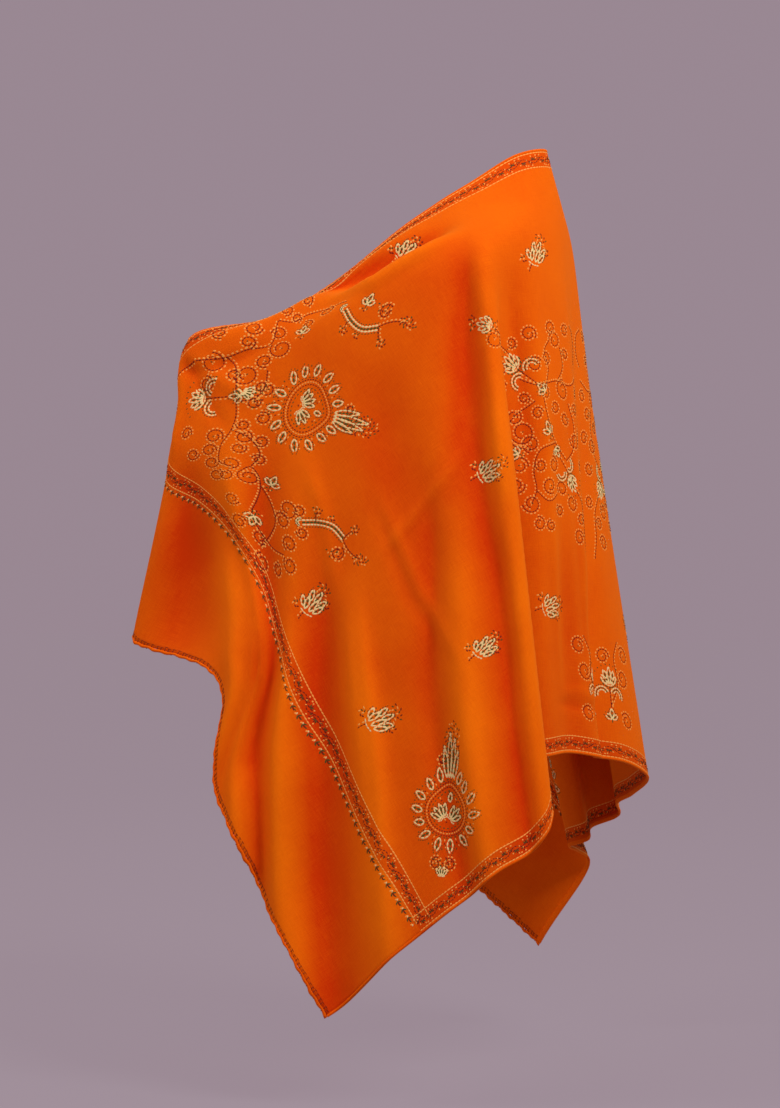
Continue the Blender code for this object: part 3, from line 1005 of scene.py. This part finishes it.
curls = (
    (630, 67, 14), (603, 110, 14), (557, 43, 11), (542, 100, 15), (440, 87, 12), (590, 147, 9),
    (618, 183, 9), (688, 173, 12), (723, 213, 12), (700, 233, 11), (662, 243, 9), (695, 267, 13),
    (655, 197, 10), (667, 337, 14), (688, 350, 12), (775, 387, 11), (753, 360, 9), (665, 377, 8),
    (615, 100, 8), (500, 35, 10), (255, 307, 13), (175, 323, 8), (88, 320, 12), (115, 350, 10),
    (60, 340, 8), (175, 470, 17), (185, 443, 11), (75, 400, 15), (75, 447, 10), (50, 480, 12),
    (163, 490, 13), (185, 523, 12), (135, 560, 12), (175, 587, 13), (125, 407, 11), (60, 640, 11),
    (75, 860, 13), (85, 820, 12), (30, 830, 11), (75, 930, 12), (572, 105, 10), (640, 215, 9),
    (722, 250, 10), (725, 75, 11), (745, 295, 10), (712, 410, 11), (735, 175, 10), (720, 135, 9),
    (480, 85, 10), (460, 40, 9), (95, 300, 10), (140, 360, 11), (40, 430, 10), (100, 430, 9),
    (210, 500, 10), (145, 440, 9), (100, 565, 11), (30, 520, 10), (200, 360, 10), (110, 600, 9),
    (600, 30, 9), (575, 62, 9), (530, 70, 11), (490, 58, 8), (655, 90, 11), (710, 190, 11),
    (735, 240, 12), (645, 178, 8), (672, 212, 9), (765, 330, 10), (695, 385, 11), (650, 345, 8),
    (745, 405, 9), (205, 395, 12), (225, 345, 11), (145, 310, 11), (120, 525, 12), (150, 525, 9),
    (75, 585, 12), (50, 610, 9), (22, 470, 10), (25, 575, 9), (195, 555, 12), (215, 530, 9),
    (165, 620, 10), (55, 300, 9), (25, 400, 9), (165, 415, 8), (235, 320, 8), (140, 625, 8),
)
scrolls = []
stems = [rounded(points) for points in vines]
for number, line in enumerate(stems):
    sewVine(scrolls, line, 1.0 if number % 2 else -1.0)
stemPoints = np.concatenate(stems)
for number, (along, down, radius) in enumerate(curls):
    away = stemPoints - (along, down)
    nearest = away[np.argmin(np.hypot(*away.T))]
    start = math.degrees(math.atan2(nearest[1], nearest[0]))
    turn = stitch["curlTurn"] if number % 2 else -stitch["curlTurn"]
    sewCurl(scrolls, along, down, stitch["curlGrow"] * radius, start, turn)
sewMotif(scrolls, (0.0, 0.0), (0.0, 1.0))


def borderMotif(length, width):  # a vine with a blossom at each bend, between two pale lines along x
    motif = []
    for y in (-0.5 * width, 0.5 * width):
        sewLine(motif, "peach", np.array(((0.0, y), (length, y))), 6.0, 0.1, 1.5)
    steps = np.arange(0.0, length, 1.5)
    swing = 2.0 * math.pi / border["wave"]
    wave = np.column_stack((steps, border["swing"] * np.sin(swing * steps)))
    sewLine(motif, "rust", wave, 4.2, 0.9, 1.3)
    number = 0
    at = 0.25 * border["wave"]
    while at < length - 6.0:
        side = 1.0 if number % 2 == 0 else -1.0
        y = side * (border["swing"] - 5.0)
        for lean, thread in ((-1.5, "rust"), (-0.8, "green"), (0.0, "rust"), (0.8, "green"), (1.5, "rust")):
            angle = -side * 0.5 * math.pi + lean + chance.uniform(-0.15, 0.15)
            sewRay(motif, thread, at, y, angle, 0.4, 5.8, 1.7)
        for lean in (-1.1, 0.4, 1.9):
            sewRay(motif, "peach", at, y, -side * 0.5 * math.pi + lean, 6.2, 8.8, 1.7)
        sewLine(motif, "rust", curl(at + 9.0, side * 3.0, 4.0, 90.0 * side, 300.0, 0.3), 3.0, 0.7, 1.3)
        sewRay(motif, "green", at + 9.0, side * 3.0, 0.8, -1.5, 1.5, 1.5)
        for shift in (5.0, 13.0):
            sewRay(motif, "peach", at + shift, side * 8.0, chance.uniform(-0.5, 0.5), -1.5, 1.5, 1.7)
        at += 0.5 * border["wave"]
        number += 1
    return motif


def leafRowMotif(length):  # dark leaves in threes, a pale knot between them
    motif = []
    at = 4.0
    while at < length - 14.0:
        tilt = math.radians(chance.uniform(-14.0, 14.0))
        for lean, thread, long in ((0.75, "green", 6.4), (0.0, "rust", 8.6), (-0.75, "green", 6.4)):
            sewRay(motif, thread, at, 0.0, tilt + lean, 0.4, long, 1.9)
        sewRay(motif, "green", at + 6.0, 0.0, tilt + 0.4, 0.0, 3.6, 1.7)
        sewRay(motif, "peach", at + 11.5, -2.2, tilt + 0.9, 0.0, 4.0, 2.0)
        sewRay(motif, "cream", at + 13.2, 2.0, tilt - 0.9, 0.0, 3.4, 1.6)
        at += chance.uniform(14.6, 16.6)
    return motif


middleDown = border["edge"] + 0.5 * border["width"]
reach = border["bandAt"] + 0.5 * border["bandWidth"]
for down in (middleDown, cloth["width"] / mm - middleDown):
    sewMotif(borderMotif(reach, border["width"]), (0.0, down), (0.0, 1.0))
bandLength = cloth["width"] / mm - 2.0 * middleDown
sewMotif(borderMotif(bandLength, border["bandWidth"]), (border["bandAt"], middleDown), (-1.0, 0.0))
leafAt = border["bandAt"] + 0.5 * border["bandWidth"] + border["leafRow"]
sewMotif(leafRowMotif(bandLength), (leafAt, middleDown), (-1.0, 0.0))

print("overcast stitches of the rolled ends")
overcast = endHem["overcast"]
knotUp, knotDown, knotWidth = overcast["knot"]
at = overcast["from"]
while at < cloth["width"] - overcast["from"]:
    shifted = at + chance.uniform(*overcast["lean"])
    inward = overcast["inward"] * chance.uniform(*overcast["inwardUneven"])
    for end in (1.0, -1.0):
        edge = end * 0.5 * cloth["length"]
        inner, outer = edge - end * inward, edge + end * overcast["outward"]
        stitches["rust"].append((inner, at, outer, shifted, overcast["width"]))
        stitches["rust"].append((inner, at - knotUp, inner, at + knotDown, knotWidth))
    at += overcast["step"] * chance.uniform(*overcast["stepUneven"])

threadShape = {
    "low": 0.0005,  # height of the stitch's sides and tips over the middle of the cloth
    "high": 0.0016,
    "tips": 0.45,
    "tipTurn": 0.12,  # part of the half wave that the tips cut off
}


def stitchPiece(name, sewn, finish, side):  # side 1: outside, -1: the wrong side
    table = np.array(sewn)
    shape = bmesh.new()
    bmesh.ops.create_grid(shape, x_segments=3, y_segments=2, size=1.0)
    shape.verts.index_update()
    parts = (shape.verts, shape.edges, shape.faces)
    each = [len(part) for part in parts]
    unit = np.array([vertex.co[:2] for vertex in shape.verts])
    made = 1
    while made < len(table):
        more = min(made, len(table) - made)
        geometry = []
        for part, size in zip(parts, each):
            geometry += part[:more * size]
        bmesh.ops.duplicate(shape, geom=geometry)
        made += more
    share = 0.5 * (unit[:, 0] + 1.0)
    low, high, tips, tipTurn = (threadShape[key] for key in ("low", "high", "tips", "tipTurn"))
    full = np.sin(np.pi * (tipTurn + (1.0 - 2.0 * tipTurn) * share))
    across = unit[:, 1] * (tips + (1.0 - tips) * full)
    height = low + (high - low) * (1.0 - np.abs(unit[:, 1])) * full
    start, end, width = table[:, None, 0:2], table[:, None, 2:4], table[:, None, 4]
    run = unitLong(end - start)
    sideways = np.stack((-run[..., 1], run[..., 0]), axis=-1)
    flat = start + (end - start) * share[None, :, None]
    flat = (flat + sideways * (0.5 * width * across[None, :])[..., None]).reshape(-1, 2)
    spots = onCloth(flat[:, 0], flat[:, 1], side * np.tile(height, len(table)))
    writeFlat(shape, "strand", *(0.5 * np.tile(unit, (len(table), 1)).T))
    if side > 0:
        bmesh.ops.reverse_faces(shape, faces=shape.faces)
    piece = newPiece(name, shape, finish)
    piece.data.vertices.foreach_set("co", spots.ravel())
    piece.data.update()
    return piece


threadFinish = {
    "dark": 0.66,
    "fuzzShare": 0.8,
    # painted shade: how much darker the grooves between the plies are
    "plyGrooveShade": 0.3,
    "fuzz": {"Patch": 60.0, "Fibre": 1500.0},
    "twist": (26.0, 16.0),  # along and across a stitch
    "plyBump": {"Strength": 0.4, "Distance": 0.0002},
    "shader": {"Roughness": 0.6, "Specular IOR Level": 0.12},
}
threadColours = {
    "cream": (0.90, 0.64, 0.28),
    "green": (0.090, 0.076, 0.010),
    "rust": (0.21, 0.014, 0.002),
    "peach": (1.00, 0.38, 0.07),
}


def threadMaterial(name, colour):
    finish, tree, shader = newFinish(name + "Thread")
    strand = newNode(tree, "ShaderNodeUVMap")
    strand.uv_map = "strand"
    spot = newNode(tree, "ShaderNodeTexCoord").outputs["Object"]
    fuzz = placed(tree, fuzzNodes, {**threadFinish["fuzz"], "Vector": spot})
    x, y = newNode(tree, "ShaderNodeSeparateXYZ", {0: strand.outputs[0]}).outputs[:2]
    lengthwise, crosswise = threadFinish["twist"]
    twist = newMath(tree, "MULTIPLY_ADD", x, lengthwise, newMath(tree, "MULTIPLY", y, crosswise))
    ply = newMath(tree, "MULTIPLY_ADD", newMath(tree, "SINE", twist), 0.5, 0.5)
    # tone: random fuzz, and painted shade that darkens the grooves between the plies
    tone = newMath(tree, "MULTIPLY", fuzz["Tone"], threadFinish["fuzzShare"])
    tone = newMath(tree, "MULTIPLY_ADD", ply, threadFinish["plyGrooveShade"], tone)
    dark = tuple(threadFinish["dark"] * part for part in colour)
    plies = newNode(tree, "ShaderNodeBump", {**threadFinish["plyBump"], "Height": ply}).outputs[0]
    setInputs(tree, shader, {
        **threadFinish["shader"],
        "Base Color": newMix(tree, tone, dark, colour),
        "Normal": plies,
    })
    return finish


print("embroidery stitches")
for thread, sewn in stitches.items():
    finish = threadMaterial(thread, threadColours[thread])
    stitchPiece(thread + "Stitches", sewn, finish, 1.0)
    stitchPiece(thread + "StitchesInside", sewn, finish, -1.0)
    print(thread, len(sewn))
